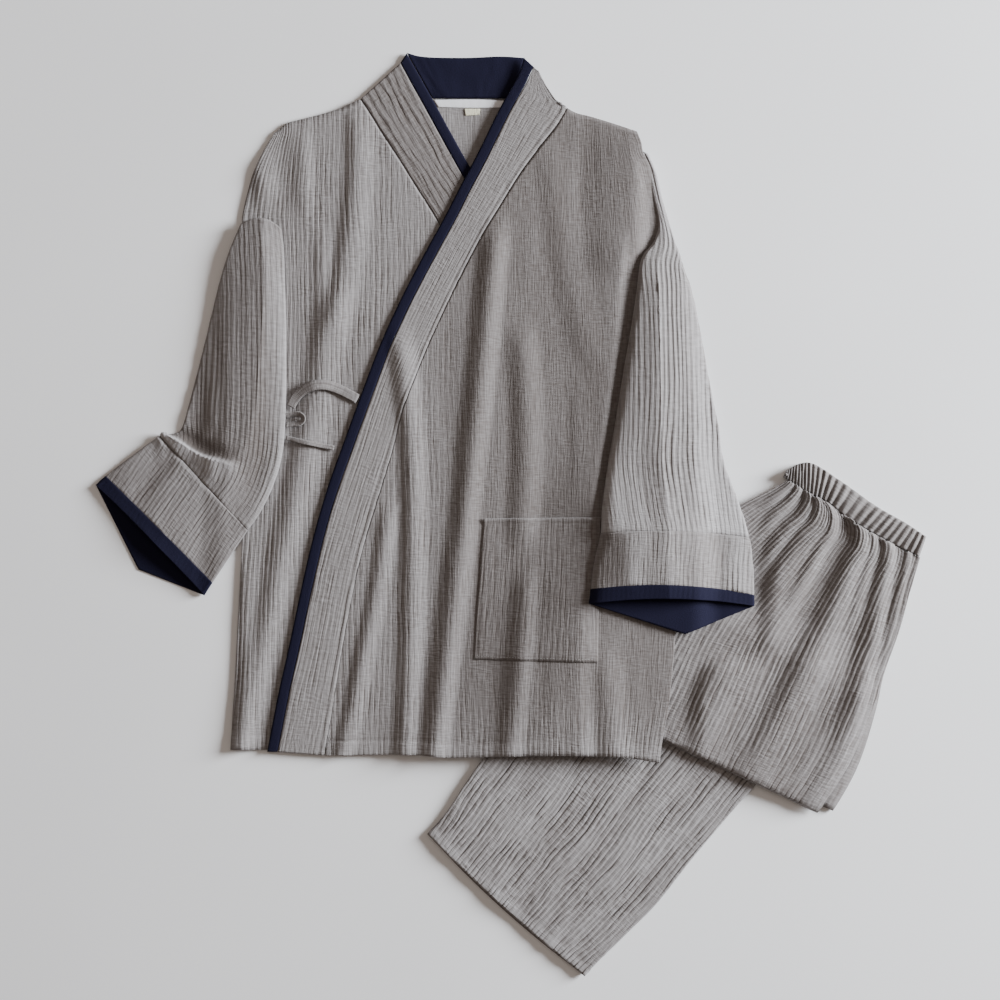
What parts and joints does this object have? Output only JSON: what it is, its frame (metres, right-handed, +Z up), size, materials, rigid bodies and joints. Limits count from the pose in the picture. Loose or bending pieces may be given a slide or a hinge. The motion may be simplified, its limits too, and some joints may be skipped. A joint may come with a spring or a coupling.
{
  "type": "kimono pyjama set",
  "caption": "Kimono pyjama set laid flat: a crinkled gauze wrap jacket with navy edge binding, wide cuffed sleeves, side tie and patch pocket, over matching folded trousers.",
  "frame": {"origin": "middle of the underside of the laid-out set's bounding box, on the table it lies on", "axes": "+Z up off the table, +Y from the lower trouser leg towards the jacket's neck, +X towards the gathered waistband, as seen from above"},
  "size_m": [0.9164, 1.0174, 0.0416],
  "materials": {
    "grey_gauze": "matt, crinkled double gauze",
    "navy_binding": "matt plain weave",
    "white_tape": "matt twill tape",
    "cream_tab": "matt, blank"
  },
  "bodies": {
    "root": {"back": "grey_gauze", "front_under": "grey_gauze", "front_over": "grey_gauze", "collar_under": "grey_gauze", "collar_over": "grey_gauze", "collar_back": "grey_gauze", "neck_facing": "navy_binding", "trim_under": "navy_binding", "trim_over": "navy_binding", "neck_tape": "white_tape", "size_tab": "cream_tab", "pocket": "grey_gauze", "sleeve_left": "grey_gauze", "sleeve_right": "grey_gauze", "cuff_left": "grey_gauze", "cuff_right": "grey_gauze", "cuff_binding_left": "navy_binding", "cuff_binding_right": "navy_binding", "tie_end_upper": "grey_gauze", "tie_loop": "grey_gauze", "tie_end_lower": "grey_gauze", "waistband": "grey_gauze", "trouser_upper": "grey_gauze", "trouser_layers": "grey_gauze", "leg_lower": "grey_gauze", "leg_under": "grey_gauze"}
  },
  "joints": []
}
